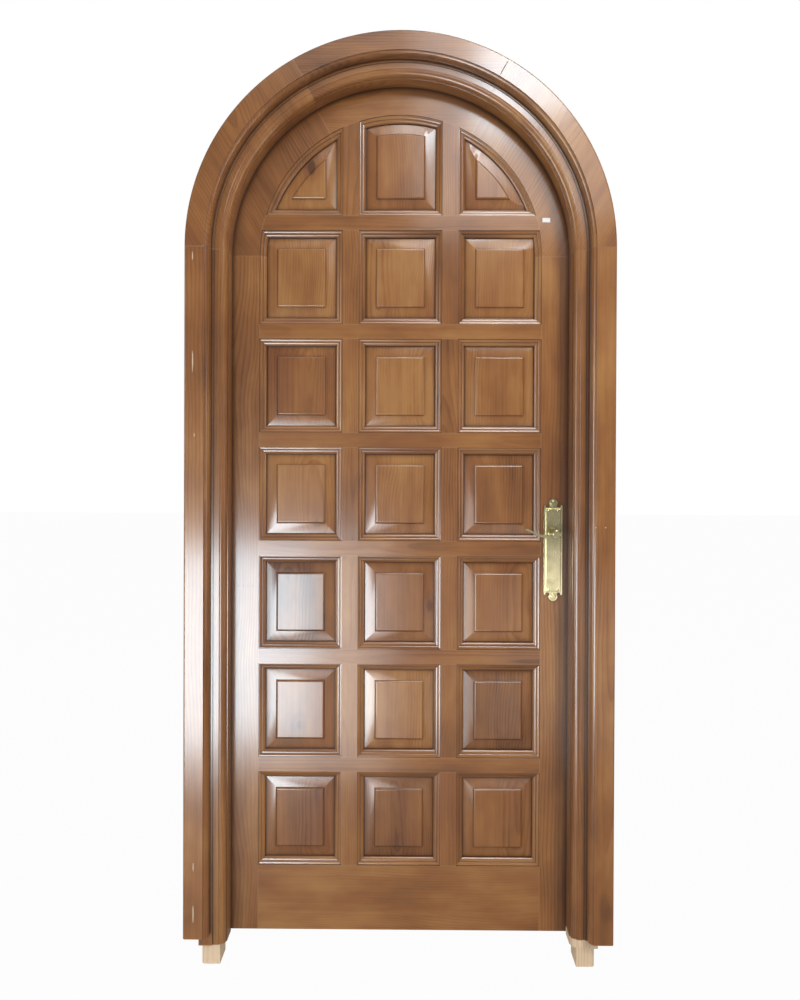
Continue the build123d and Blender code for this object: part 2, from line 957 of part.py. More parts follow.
# The hook hangs from the bolt's tail behind the follower's lug, so that pressing the
# lever draws the bolt back; the lug's inner edge sets how near the hook can stand.
hook_foot = follower_radius + bolt_clearance
lug_edge_radius = (hook_foot - lug_width / 2 * sin(radians(lug_angle))) / cos(
    radians(lug_angle)
)
hook_face = spindle_x + lug_edge_radius * sin(radians(lug_angle))
hook_face = hook_face - lug_width / 2 * cos(radians(lug_angle)) - hook_gap
bolt_inner = leaf_radius - bolt_head_length
tail_z = (bolt_z + bolt_height / 2 - bolt_clearance - tail_height * 2, 0)
tail_low = max(spindle_z + lug_radius + 1.5, bolt_z - bolt_height / 2)
with BuildPart() as latch_bolt:
    with BuildSketch(Plane.XY.offset(bolt_z - bolt_height / 2)):
        with BuildLine():
            Polyline(
                (bolt_inner, bolt_y[0]),
                (leaf_radius, bolt_y[0]),
                (leaf_radius + bolt_throw, bolt_y[1] - bolt_thickness / 4),
                (leaf_radius + bolt_throw, bolt_y[1]),
                (bolt_inner, bolt_y[1]),
                close=True,
            )
        make_face()
    extrude(amount=bolt_height)
    block(
        (hook_face - hook_thickness, bolt_inner),
        about(mid_thickness, tail_thickness),
        (tail_low, tail_low + tail_height),
    )
    block(
        (hook_face - hook_thickness, hook_face),
        about(mid_thickness, tail_thickness),
        (spindle_z + hook_foot, tail_low + tail_height),
    )
save(latch_bolt.part, "latch_bolt")

with BuildPart() as lock_stile:
    add(stile(1))
    block((forend_back, leaf_radius), forend_y, forend_z, mode=Mode.SUBTRACT)
    block(
        (case_x[0] - case_fit, forend_back),
        (case_y[0] - case_fit, case_y[1] + case_fit),
        (case_z[0] - case_fit, case_z[1] + case_fit),
        mode=Mode.SUBTRACT,
    )
    with BuildSketch(spindle_plane.offset(-leaf_thickness)):
        Circle(spindle_bore_radius)
    extrude(amount=leaf_thickness, mode=Mode.SUBTRACT)
save(lock_stile.part, "lock_stile")

strike_y = about(mid_thickness, strike_width)
strike_z = about(bolt_z, strike_length)
strike_hole_y = about(mid_thickness, bolt_thickness + 2 * strike_clearance)
strike_hole_z = about(bolt_z, bolt_height + 2 * strike_clearance)
strike_back = rebate_radius + strike_thickness
with BuildPart() as strike_plate:
    block((rebate_radius, strike_back), strike_y, strike_z)
    block(
        (rebate_radius, strike_back), strike_hole_y, strike_hole_z, mode=Mode.SUBTRACT
    )
save(strike_plate.part, "strike_plate")

with BuildPart() as lock_jamb:
    add(jamb_with_horn(1))
    block((rebate_radius, strike_back), strike_y, strike_z, mode=Mode.SUBTRACT)
    block(
        (strike_back, strike_back + strike_pocket_depth),
        strike_hole_y,
        strike_hole_z,
        mode=Mode.SUBTRACT,
    )
save(lock_jamb.part, "lock_jamb")


# Handles: a lobed plate and a lever on each face, joined by the spindle
def handle_plane(y, outward):
    """Plane on a face of the leaf at the spindle, facing out; its y is up."""
    return Plane((spindle_x, y, spindle_z), x_dir=(-outward, 0, 0), z_dir=(0, outward, 0))


def plate_outline(inset=0.0):
    """Back plate in elevation: a lobe and two ears at each end, with notches between."""
    ear_y = plate_length / 2 - 2 * lobe_radius + ear_radius + 1.5
    half_body = ear_y - ear_radius / 2
    with Locations((0, -plate_drop)):
        Rectangle(plate_width - 2 * inset, 2 * (half_body - inset))
    for end in (-1, 1):
        with Locations((0, end * (plate_length / 2 - lobe_radius) - plate_drop)):
            Circle(lobe_radius - inset)
        for side in (-1, 1):
            ear_x = side * (plate_width / 2 - ear_radius)
            if inset:
                continue
            with Locations((ear_x, end * ear_y - plate_drop)):
                Circle(ear_radius)
            notch_x = side * (lobe_radius + notch_radius) * 0.86
            with Locations((notch_x, end * (ear_y + notch_radius / 3) - plate_drop)):
                Circle(notch_radius, mode=Mode.SUBTRACT)


def back_plate(y, outward):
    """Back plate with a raised middle and the rose that carries the lever's neck."""
    with BuildPart() as plate:
        with BuildSketch(handle_plane(y, outward)):
            plate_outline()
        extrude(amount=plate_base)
        with BuildSketch(handle_plane(y + outward * plate_base, outward)):
            plate_outline(plate_border)
        extrude(amount=plate_rise, taper=30)
        rose_foot = y + outward * (plate_base + plate_rise)
        with BuildSketch(handle_plane(rose_foot, outward)):
            Circle(rose_radius)
        extrude(amount=rose_height, taper=12)
        with BuildSketch(handle_plane(y, outward)):
            Circle(neck_radius + neck_clearance)
        extrude(amount=plate_base + plate_rise + rose_height, mode=Mode.SUBTRACT)
    return plate.part


def lever_outline(outward):
    """Blade of the lever in elevation: a thin wave that dips by the hub and lifts to its tip.

    The blade runs towards the hinge side, which is the sketch's left seen from the front.
    """
    run = 1 if outward > 0 else -1
    half = lever_blade / 2
    path = ((0.0, 0.0), (lever_dip_at, -lever_dip), (0.72, 2.0), (1.0, lever_tip_rise))
    top = [(run * share * lever_reach, rise + half) for share, rise in path]
    foot = [(run * share * lever_reach, rise - half) for share, rise in path]
    tip = (run * (lever_reach + half), lever_tip_rise)
    with BuildLine() as outline:
        Spline(*top)
        ThreePointArc(top[-1], tip, foot[-1])
        Spline(*foot)
        Line(foot[0], top[0])
    make_face(outline.edges())


def lever(y, outward):
    """A lever: neck through the plate's rose, hub, blade, and the socket for the spindle."""
    blade_foot = y + outward * (lever_projection - lever_depth)
    with BuildPart() as blade:
        with BuildSketch(handle_plane(blade_foot, outward)):
            lever_outline(outward)
        extrude(amount=lever_depth)
    with BuildPart() as hub:
        with BuildSketch(handle_plane(blade_foot, outward)):
            Circle(lever_hub_radius)
        extrude(amount=lever_depth)
        fillet(hub.edges(), hub_edge)
    with BuildPart() as handle:
        add(blade.part)
        add(hub.part)
        with BuildSketch(handle_plane(y, outward)):
            Circle(neck_radius)
        extrude(amount=lever_projection - lever_depth / 2)
        with BuildSketch(handle_plane(y, outward)):
            Rectangle(spindle_side + spindle_fit, spindle_side + spindle_fit)
        extrude(amount=socket_depth, mode=Mode.SUBTRACT)
    return handle.part


save(back_plate(0, -1), "plate_front")
save(back_plate(leaf_thickness, 1), "plate_back")
save(lever(0, -1), "lever_front")
save(lever(leaf_thickness, 1), "lever_back")

with BuildPart() as spindle:
    with BuildSketch(spindle_plane.offset(-leaf_thickness - socket_depth + 1)):
        Rectangle(spindle_side, spindle_side)
    extrude(amount=leaf_thickness + 2 * (socket_depth - 1))
save(spindle.part, "spindle")
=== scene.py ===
import json
import math
import random

import bmesh
import bpy
from mathutils import Matrix, Vector


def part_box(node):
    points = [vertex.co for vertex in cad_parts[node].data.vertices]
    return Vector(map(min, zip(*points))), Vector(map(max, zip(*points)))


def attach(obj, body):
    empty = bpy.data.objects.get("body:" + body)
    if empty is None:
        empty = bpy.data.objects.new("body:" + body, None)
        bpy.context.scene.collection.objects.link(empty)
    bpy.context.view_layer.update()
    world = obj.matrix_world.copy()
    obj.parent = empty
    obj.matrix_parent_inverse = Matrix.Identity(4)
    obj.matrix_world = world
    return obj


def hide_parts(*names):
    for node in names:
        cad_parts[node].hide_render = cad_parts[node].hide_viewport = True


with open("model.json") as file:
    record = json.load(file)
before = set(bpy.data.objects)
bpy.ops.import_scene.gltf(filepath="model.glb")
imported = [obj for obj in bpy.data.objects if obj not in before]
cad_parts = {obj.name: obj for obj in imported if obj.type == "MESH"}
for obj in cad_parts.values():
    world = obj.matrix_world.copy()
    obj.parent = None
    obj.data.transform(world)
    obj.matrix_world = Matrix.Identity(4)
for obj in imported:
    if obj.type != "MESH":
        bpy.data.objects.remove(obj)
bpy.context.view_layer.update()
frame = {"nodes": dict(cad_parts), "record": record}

bl_info = {
    "name": "Arched Pine Door",
    "version": (1, 0, 0),
    "blender": (4, 5, 0),
    "location": "View3D > Sidebar > Door",
    "description": "Dresses an arched pine door and its frame with timber, brass and steel",
    "category": "Object",
}

# Heights and faces read from the model
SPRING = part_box("hinge_stile")[1].z
LEAF_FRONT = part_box("bottom_rail")[0].y
LEG_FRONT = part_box("architrave_left")[0].y
RIGHT_LEG_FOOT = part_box("architrave_right")[0].z
ROW_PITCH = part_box("cross_rail_2")[0].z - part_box("cross_rail_1")[0].z
FIRST_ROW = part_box("bottom_rail")[1].z

# Where the raw timber of the horns ends
RAW_TOP_LEFT = 0.0455
RAW_TOP_RIGHT = RIGHT_LEG_FOOT - 0.002
RAW_FADE_RIGHT = 0.012

# Muntins: rows, and how far one reaches below its row into the rail
MUNTIN_ROWS = 7
MUNTIN_TONGUE = 0.017
MUNTIN_SLACK = 0.0675

# Screws: from a plate's ends, from its middle and into its face
PLATE_SCREW_END = 0.0270
PLATE_SCREW_SIDE = 0.0105
PLATE_SCREW_FACE = 0.0050
LOCK_SCREW_END = 0.013
LOCK_SCREW_FACE = 0.0009
LOCK_SCREW_RADIUS = 0.0034
LOCK_SCREW_HEIGHT = 0.0012

# Marks: how far they stand out, and the middle of the architrave's flat round the arch
MARK_STANDOFF = 0.00006
MARK_THICKNESS = 0.00012
ARCH_FLAT_RADIUS = 0.4715

# Direction of each board's grain, in degrees from upright, seen from the front
UPRIGHT = 0.0
LEVEL = 90.0
LEFT_SEGMENT = -30.0
RIGHT_SEGMENT = 30.0

LEAF_BOARDS = {
    "hinge_stile": UPRIGHT,
    "lock_stile": UPRIGHT,
    "muntins_left": UPRIGHT,
    "muntins_right": UPRIGHT,
    "bottom_rail": LEVEL,
    "head_left": LEFT_SEGMENT,
    "head_crown": LEVEL,
    "head_right": RIGHT_SEGMENT,
    **{f"cross_rail_{rail}": LEVEL for rail in range(1, 7)},
}
PANEL_NODES = [
    f"panel_row{row}_{column}"
    for row in range(1, 8)
    for column in ("left", "centre", "right")
]
FRAME_BOARDS = {
    "arch_jamb_left": LEFT_SEGMENT,
    "arch_jamb_crown": LEVEL,
    "arch_jamb_right": RIGHT_SEGMENT,
    "architrave_left": UPRIGHT,
    "architrave_right": UPRIGHT,
    "architrave_arch_left": LEFT_SEGMENT,
    "architrave_arch_crown": LEVEL,
    "architrave_arch_right": RIGHT_SEGMENT,
}
JAMB_NODES = ("hinge_jamb", "lock_jamb")
HINGE_NODES = (
    "hinge_frame_leaves",
    "hinge_door_leaves",
    "hinge_pins",
    "frame_screws",
    "leaf_screws",
)
LOCK_NODES = ("lock_case", "forend", "lock_follower", "spindle", "latch_bolt", "strike_plate")
HANDLE_NODES = ("plate_front", "plate_back", "lever_front", "lever_back")

# Broader flats than this meet in a sharp mitre
MITRED_BREADTH = 0.006


def body_of_node(node):
    """Name of the body that a node of the model rides on."""
    for body, members in frame["record"]["behaviour"]["bodies"].items():
        if node in members:
            return body
    raise KeyError(node)


def slot_of_node(node):
    """Material slot that the record gives a node."""
    for entry in frame["record"]["subparts"]:
        if entry["node"] == node:
            return entry["material_slot"]
    raise KeyError(node)


# Settings


def colour_setting(name, description, default):
    return bpy.props.FloatVectorProperty(
        name=name,
        description=description,
        default=default,
        subtype="COLOR",
        size=3,
        min=0.0,
        max=1.0,
    )


class DoorTimberSettings(bpy.types.PropertyGroup):
    """Stain, grain and varnish of the timber."""

    stain: colour_setting(
        "Stain", "Colour of the stained wood between its darker rings", (0.285, 0.114, 0.032)
    )
    golden_stain: colour_setting(
        "Golden stain", "Colour where the wood is palest", (0.390, 0.185, 0.058)
    )
    ruddy_stain: colour_setting(
        "Ruddy stain", "Colour of the redder patches", (0.225, 0.072, 0.022)
    )
    # Also the colour of the painted shade in the hollows and recesses
    darkest_stain_and_shade: colour_setting(
        "Dark stain", "Colour where the stain has gathered and in the rings", (0.105, 0.036, 0.012)
    )
    worn_stain: colour_setting(
        "Thin stain", "Colour on arrises, where the stain is rubbed thin", (0.460, 0.250, 0.115)
    )
    raw_pine: colour_setting(
        "Raw pine", "Colour of the timber that was never stained", (0.840, 0.650, 0.460)
    )
    edge_round: bpy.props.FloatProperty(
        name="Arris",
        description="Radius that sanding has left on the edges",
        default=0.0006,
        min=0.0,
        soft_max=0.003,
        unit="LENGTH",
    )
    varnish: bpy.props.FloatProperty(
        name="Varnish",
        description="Strength of the varnish coat",
        default=1.0,
        min=0.0,
        max=1.0,
        subtype="FACTOR",
    )
    varnish_roughness: bpy.props.FloatProperty(
        name="Varnish roughness",
        description="How far the varnish blurs what it reflects",
        default=0.17,
        min=0.0,
        max=1.0,
        subtype="FACTOR",
    )
    ring_width: bpy.props.FloatProperty(
        name="Ring width",
        description="Distance between the tree's rings",
        default=0.0062,
        min=0.001,
        soft_max=0.02,
        unit="LENGTH",
    )


class DoorMetalSettings(bpy.types.PropertyGroup):
    """Handles, hinges and latch."""

    brass: colour_setting(
        "Brass", "Colour of the aged brass of the handles", (0.840, 0.745, 0.460)
    )
    # Also the colour of the painted dark reflection at the top of the plates
    patina_and_dark_reflection: colour_setting(
        "Tarnish", "Colour where the brass has dulled", (0.370, 0.320, 0.170)
    )
    steel: colour_setting(
        "Steel", "Colour of the hinges and the latch", (0.420, 0.400, 0.370)
    )
    edge_round: bpy.props.FloatProperty(
        name="Edge",
        description="Radius on the edges of the metal",
        default=0.0004,
        min=0.0,
        soft_max=0.002,
        unit="LENGTH",
    )
    screw_radius: bpy.props.FloatProperty(
        name="Screw head",
        description="Radius of the handle screws' heads",
        default=0.0026,
        min=0.001,
        soft_max=0.006,
        unit="LENGTH",
    )


class DoorStageSettings(bpy.types.PropertyGroup):
    """Floor, lights and camera."""

    camera_place: bpy.props.FloatVectorProperty(
        name="Camera",
        description="Where the camera stands",
        default=(0.016, -2.016, 1.164),
        subtype="TRANSLATION",
        size=3,
    )
    camera_pitch: bpy.props.FloatProperty(
        name="Pitch",
        description="How far the camera looks down",
        default=0.0058,
        subtype="ANGLE",
    )
    camera_turn: bpy.props.FloatProperty(
        name="Turn",
        description="How far the camera looks to the left",
        default=0.0077,
        subtype="ANGLE",
    )
    camera_roll: bpy.props.FloatProperty(
        name="Roll",
        description="How far the picture leans clockwise",
        default=0.0038,
        subtype="ANGLE",
    )
    lens: bpy.props.FloatProperty(
        name="Lens",
        description="Focal length on a sensor 36 mm high",
        default=30.27,
        min=10.0,
        soft_max=200.0,
    )
    rise: bpy.props.FloatProperty(
        name="Rise",
        description="Upright shift of the lens, as a share of the picture's height",
        default=-0.0285,
        min=-0.2,
        max=0.2,
    )
    window_strength: bpy.props.FloatProperty(
        name="Windows",
        description="Strength of the lamps that light the whole door",
        default=1.0,
        min=0.0,
        soft_max=4.0,
    )
    glare_strength: bpy.props.FloatProperty(
        name="Glare",
        description="Radiance of the windows that the varnish mirrors",
        default=24.0,
        min=0.0,
        soft_max=60.0,
    )
    room_strength: bpy.props.FloatProperty(
        name="Room",
        description="Even light that comes from all round",
        default=0.30,
        min=0.0,
        soft_max=4.0,
    )


# Shader tools


class Wire:
    """A shader socket that can be written in sums: each operation adds its own node."""

    def __init__(self, graph, socket):
        self.graph = graph
        self.socket = socket

    def _math(self, operation, *values):
        settings = {"operation": operation}
        inputs = dict(enumerate(values))
        return self.graph.node("ShaderNodeMath", settings, inputs)

    def __add__(self, other):
        return self._math("ADD", self, other)

    __radd__ = __add__

    def __mul__(self, other):
        return self._math("MULTIPLY", self, other)

    __rmul__ = __mul__

    def __sub__(self, other):
        return self._math("SUBTRACT", self, other)

    def __rsub__(self, other):
        return self._math("SUBTRACT", other, self)

    def __truediv__(self, other):
        return self._math("DIVIDE", self, other)

    def __rtruediv__(self, other):
        return self._math("DIVIDE", other, self)

    def root(self):
        return self._math("SQRT", self)

    def fraction(self):
        return self._math("FRACT", self)

    def most(self, other):
        return self._math("MAXIMUM", self, other)

    def step(self, low, high):
        """Rises smoothly from 0 at low to 1 at high."""
        settings = {"interpolation_type": "SMOOTHSTEP"}
        if low <= high:
            inputs = {"Value": self, "From Min": low, "From Max": high}
            return self.graph.node("ShaderNodeMapRange", settings, inputs)
        inputs = {"Value": self, "From Min": high, "From Max": low}
        return 1 - self.graph.node("ShaderNodeMapRange", settings, inputs)


class Graph:
    """The nodes of a material or world, added one at a time."""

    def __init__(self, owner):
        self.owner = owner
        owner.use_nodes = True
        self.tree = owner.node_tree
        self.tree.nodes.clear()

    def node(self, kind, settings=None, inputs=None, output=0):
        """Add a node of a kind, give it settings and then values or links for its sockets."""
        node = self.tree.nodes.new(kind)
        for name, value in (settings or {}).items():
            if name == "stops":
                ramp = node.color_ramp
                for place, colour in value[len(ramp.elements) :]:
                    ramp.elements.new(place)
                for element, (place, colour) in zip(ramp.elements, value):
                    element.position = place
                    element.color = colour
            else:
                setattr(node, name, value)
        for name, value in (inputs or {}).items():
            if isinstance(value, Wire):
                self.tree.links.new(value.socket, node.inputs[name])
            else:
                node.inputs[name].default_value = value
        if not node.outputs:
            return None
        return Wire(self, node.outputs[output])

    def noise(self, place, scale, detail=2.0, roughness=0.5):
        inputs = {"Vector": place, "Scale": scale, "Detail": detail, "Roughness": roughness}
        return self.node("ShaderNodeTexNoise", None, inputs, "Fac")

    def stretched_noise(self, place, scale, detail=2.0, roughness=0.5):
        """Noise on a place that three factors stretch."""
        settings = {"operation": "MULTIPLY"}
        stretched = self.node("ShaderNodeVectorMath", settings, {0: place, 1: scale})
        return self.noise(stretched, 1.0, detail, roughness)

    def place(self):
        return self.node("ShaderNodeTexCoord", None, None, "Object")

    def closeness(self, distance, inside=False):
        """How open the surface is within a distance, outwards or inwards."""
        settings = {"samples": 6, "inside": inside}
        return self.node("ShaderNodeAmbientOcclusion", settings, {"Distance": distance}, "AO")

    def parts(self, place):
        """The three numbers of a place."""
        return [
            self.node("ShaderNodeSeparateXYZ", None, {"Vector": place}, axis)
            for axis in ("X", "Y", "Z")
        ]

    def blend(self, share, first, second):
        """Colour between two colours by a share."""
        inputs = {0: share, 6: first, 7: second}
        return self.node("ShaderNodeMix", {"data_type": "RGBA"}, inputs, 2)

    def bump(self, height, distance, strength):
        inputs = {"Height": height, "Distance": distance, "Strength": strength}
        return self.node("ShaderNodeBump", None, inputs)

    def finish(self, shader, kind="ShaderNodeOutputMaterial"):
        self.node(kind, None, {"Surface": shader})
        return self.owner

    def principled(self, inputs):
        return self.finish(self.node("ShaderNodeBsdfPrincipled", None, inputs, "BSDF"))


def rgba(colour, factor=1.0):
    """A setting's colour as a socket wants it."""
    return (*[part * factor for part in colour], 1.0)


def material(name, build, *values):
    """The material of a name, built the first time that it is wanted."""
    if name not in bpy.data.materials:
        build(Graph(bpy.data.materials.new(name)), *values)
    return bpy.data.materials[name]


def build_timber(graph, raw_below, raw_edge):
    settings = bpy.context.scene.door_timber
    board = graph.node("ShaderNodeAttribute", {"attribute_name": "board"}, None, "Vector")
    tone = graph.node("ShaderNodeAttribute", {"attribute_name": "tone"}, None, "Fac")
    place = graph.place()

    # Rings round a pith that wanders beside the board
    sway = graph.stretched_noise(board, (5.0, 5.0, 1.6))
    ripple = graph.stretched_noise(board, (28.0, 28.0, 7.0))
    across, depth, _ = graph.parts(board)
    bent = across + (sway - 0.5) * 0.075 + (ripple - 0.5) * 0.010
    deep = depth + (sway - 0.5) * 0.050
    radius = (bent * bent + deep * deep).root()
    ring = (radius / settings.ring_width).fraction()
    ring_strength = graph.stretched_noise(board, (11.0, 11.0, 1.2), 1.0)
    late = ring.step(0.35, 0.92) * ring.step(1.0, 0.93) * ring_strength.step(0.25, 0.75)

    fibre = graph.stretched_noise(board, (700.0, 700.0, 14.0), 3.0, 0.6)
    streak = graph.stretched_noise(board, (75.0, 75.0, 2.4), 3.0, 0.6)
    cloud = graph.stretched_noise(board, (13.0, 13.0, 5.0), 3.0, 0.55)
    patch = graph.noise(place, 2.3)
    stretch = {"operation": "MULTIPLY"}
    cells = graph.node("ShaderNodeVectorMath", stretch, {0: board, 1: (5.5, 5.5, 3.1)})
    inputs = {"Vector": cells, "Scale": 1.0, "Randomness": 1.0}
    knots = graph.node("ShaderNodeTexVoronoi", {"feature": "F1"}, inputs, "Distance")

    darkness = late * 0.30 + (fibre - 0.5) * 0.24 + (streak - 0.5) * 0.50
    darkness = darkness + (cloud - 0.5) * 1.35 + (patch - 0.5) * 0.95
    darkness = darkness + (tone - 0.5) * 0.60 + 0.39
    darkness = darkness + knots.step(0.085, 0.035) * 0.7 + knots.step(0.15, 0.09) * 0.15
    half_dark = [(a + b) / 2 for a, b in zip(settings.stain, settings.darkest_stain_and_shade)]
    stops = (
        (0.0, rgba(settings.golden_stain)),
        (0.40, rgba(settings.stain)),
        (0.74, rgba(half_dark)),
        (1.0, rgba(settings.darkest_stain_and_shade)),
    )
    colour = graph.node("ShaderNodeValToRGB", {"stops": stops}, {"Fac": darkness}, "Color")
    ruddy = graph.stretched_noise(board, (9.0, 9.0, 3.0)).step(0.45, 0.75) * 0.45
    colour = graph.blend(ruddy, colour, rgba(settings.ruddy_stain))

    # Stain rubbed thin on the arrises and gathered in the hollows, the hollows deepened by painted
    # shade; painted shade deep in the recesses
    wear = graph.closeness(0.0035, True).step(0.80, 0.45) * 0.40
    colour = graph.blend(wear, colour, rgba(settings.worn_stain))
    # Stain gathered in the hollows, with painted shade in the creases and beside the handle plates
    pooled_stain_and_painted_shade = graph.closeness(0.011).step(0.96, 0.55) * 0.88
    colour = graph.blend(pooled_stain_and_painted_shade, colour, rgba(settings.darkest_stain_and_shade, 0.45))
    # Painted shade: darker deep in recesses, such as the soffit of the arch and the leaf beside
    # the frame
    painted_deep_shade = graph.closeness(0.055).step(0.74, 0.38) * 0.60
    colour = graph.blend(painted_deep_shade, colour, rgba(settings.darkest_stain_and_shade, 0.6))

    coat = settings.varnish
    rough = 0.38 + fibre * 0.12
    if raw_below is not None:
        height = graph.parts(place)[2]
        border = graph.stretched_noise(place, (90.0, 90.0, 20.0))
        raw = height + (border - 0.5) * raw_edge
        raw = raw.step(raw_below + 0.001, raw_below - 0.001)
        grain = late * 0.35 + (streak - 0.4) * 0.3
        pale = graph.blend(grain, rgba(settings.raw_pine), rgba((0.44, 0.27, 0.14)))
        colour = graph.blend(raw, colour, pale)
        rough = rough + raw * 0.3
        coat = (1 - raw) * settings.varnish
    graph.principled(
        {
            "Base Color": colour,
            "Roughness": rough,
            "Coat Weight": coat,
            "Coat Roughness": settings.varnish_roughness,
            "Specular IOR Level": 0.12,
            "Normal": graph.bump(fibre * 0.5 + late * 0.5 + streak * 0.4, 0.00025, 0.35),
        }
    )


def timber_material(name, raw_below=None, raw_edge=0.0):
    """Stained and varnished pine, with raw timber below a height where one is given."""
    return material(name, build_timber, raw_below, raw_edge)


def build_brass(graph):
    settings = bpy.context.scene.door_metal
    place = graph.place()
    brush = graph.stretched_noise(place, (2600.0, 2600.0, 60.0))
    cloud = graph.noise(place, 34.0, 3.0)
    edge = graph.node("ShaderNodeNewGeometry", None, None, "Pointiness")
    height = graph.parts(place)[2]
    # Tarnished in patches and hollows; the next line adds a painted dark reflection towards the
    # top of the plates
    patina_share_and_painted_dark_top = cloud.step(0.35, 0.75) * 0.35 + edge.step(0.49, 0.43) * 0.4
    patina_share_and_painted_dark_top = patina_share_and_painted_dark_top + height.step(0.955, 1.01) * 0.55
    graph.principled(
        {
            "Base Color": graph.blend(patina_share_and_painted_dark_top, rgba(settings.brass), rgba(settings.patina_and_dark_reflection)),
            "Metallic": 1.0,
            "Roughness": 0.17 + brush * 0.08 + patina_share_and_painted_dark_top * 0.08,
            "Normal": graph.bump(brush, 0.00004, 0.4),
        }
    )


def brass_material():
    """Aged brass, brushed lengthways, tarnished in patches and hollows, with a painted dark
    reflection towards its top.
    """
    return material("Aged brass", build_brass)


def build_steel(graph, roughness, stain):
    settings = bpy.context.scene.door_metal
    place = graph.place()
    brush = graph.stretched_noise(place, (1800.0, 1800.0, 90.0))
    cloud = graph.noise(place, 60.0, 4.0, 0.6)
    spots = cloud.step(0.52, 0.75) * stain
    graph.principled(
        {
            "Base Color": graph.blend(spots, rgba(settings.steel), rgba((0.16, 0.09, 0.05))),
            "Metallic": 1.0 - spots * 0.7,
            "Roughness": roughness + brush * 0.12 + spots * 0.3,
            "Normal": graph.bump(brush + cloud, 0.00003, 0.5),
        }
    )


def steel_material(name, roughness, stain):
    """Steel with a fine brushed surface and a little brown staining."""
    return material(name, build_steel, roughness, stain)


def build_small(graph, colour, mottle, roughness):
    cloud = graph.noise(graph.place(), 900.0)
    graph.principled(
        {
            "Base Color": graph.blend(cloud * mottle, rgba(colour), rgba(colour, 0.6)),
            "Roughness": roughness + cloud * 0.1,
            "Normal": graph.bump(cloud, 0.00005, 0.3),
        }
    )


def small_material(name, colour, mottle, roughness):
    """A matt finish with a little mottle, for small things such as a label or a chip."""
    return material(name, build_small, colour, mottle, roughness)


# Mesh tools


def new_piece(name, bm, body, slot, material, replaced=()):
    """Turn a bmesh into a finished piece that rides on a body."""
    mesh = bpy.data.meshes.new(name)
    bm.to_mesh(mesh)
    bm.free()
    piece = bpy.data.objects.new(name, mesh)
    bpy.context.scene.collection.objects.link(piece)
    mesh.materials.append(material)
    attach(piece, body)
    if replaced:
        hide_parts(*replaced)
    return piece


def merged_copy(node):
    """A copy of a node's mesh with its loose triangles joined and its flats made whole."""
    bm = bmesh.new()
    bm.from_mesh(frame["nodes"][node].data)
    bmesh.ops.remove_doubles(bm, verts=bm.verts, dist=0.00001)
    bmesh.ops.dissolve_limit(
        bm, angle_limit=math.radians(0.2), verts=bm.verts, edges=bm.edges
    )
    return bm


def breadth(face):
    """How broad a face is across its longest edge."""
    return face.calc_area() / max(edge.calc_length() for edge in face.edges)


def round_edges(piece, width, angle=35.0):
    """Round a piece's hard edges and keep its flats flat."""
    mesh = piece.data
    mesh.shade_smooth()
    mesh.set_sharp_from_angle(angle=math.radians(angle))
    bm = bmesh.new()
    bm.from_mesh(mesh)
    for edge in bm.edges:
        if len(edge.link_faces) != 2 or edge.calc_face_angle(0.0) < math.radians(3.0):
            continue
        if min(breadth(face) for face in edge.link_faces) > MITRED_BREADTH:
            edge.smooth = False
    bm.to_mesh(mesh)
    bm.free()
    bevel = piece.modifiers.new("Arris", "BEVEL")
    bevel.limit_method = "ANGLE"
    bevel.angle_limit = math.radians(angle)
    bevel.width = width
    bevel.segments = 2
    bevel.use_clamp_overlap = True
    bevel.harden_normals = True
    flats = piece.modifiers.new("Flats", "WEIGHTED_NORMAL")
    flats.keep_sharp = True
    return piece


def mark_boards(piece, grain, seed, spread):
    """Write each point's place in its own board, and the board's tone, for the grain."""
    chance = random.Random(seed)
    mesh = piece.data
    low = Vector([min(v.co[i] for v in mesh.vertices) for i in range(3)])
    high = Vector([max(v.co[i] for v in mesh.vertices) for i in range(3)])
    middle = (low + high) / 2
    turn = Matrix.Rotation(math.radians(-grain), 3, "Y")
    rows = MUNTIN_ROWS if piece.name.startswith("Muntins") else 1
    offsets = [
        (
            chance.uniform(-0.08, 0.08),
            chance.uniform(0.025, 0.075),
            chance.uniform(0.0, 40.0),
            0.5 + spread * (chance.random() - 0.5),
        )
        for _ in range(rows)
    ]
    places = []
    tones = []
    for vertex in mesh.vertices:
        row = 0
        if rows > 1:
            row = int((vertex.co.z - FIRST_ROW + MUNTIN_TONGUE) / ROW_PITCH + MUNTIN_SLACK)
            row = min(max(row, 0), rows - 1)
        across, depth, along, shade = offsets[row]
        local = turn @ (vertex.co - middle)
        places += [local.x + across, local.y + depth, local.z + along]
        tones.append(shade)
    mesh.attributes.new("board", "FLOAT_VECTOR", "POINT")
    mesh.attributes.new("tone", "FLOAT", "POINT")
    mesh.attributes["board"].data.foreach_set("vector", places)
    mesh.attributes["tone"].data.foreach_set("value", tones)


def title_of(node):
    """A node's name in plain words, as an object's name."""
    return node.replace("_", " ").capitalize().replace(" ", "_")


def dressed_copy(node, finish):
    """Replace a node by its copy, which rides where the node does."""
    body = body_of_node(node)
    return new_piece(title_of(node), merged_copy(node), body, slot_of_node(node), finish, (node,))


def dress_board(node, grain, seed, finish, spread=0.45):
    """Replace a timber node by its copy with rounded edges and its own grain."""
    piece = dressed_copy(node, finish)
    mark_boards(piece, grain, seed, spread)
    round_edges(piece, bpy.context.scene.door_timber.edge_round)


# Timber


class DOOR_OT_leaf_boards(bpy.types.Operator):
    """Dress the stiles, rails, muntins and head of the leaf"""

    bl_idname = "door.leaf_boards"
    bl_label = "Leaf Boards"

    def execute(self, context):
        pine = timber_material("Stained pine")
        for seed, (node, grain) in enumerate(LEAF_BOARDS.items()):
            dress_board(node, grain, seed, pine)
        return {"FINISHED"}


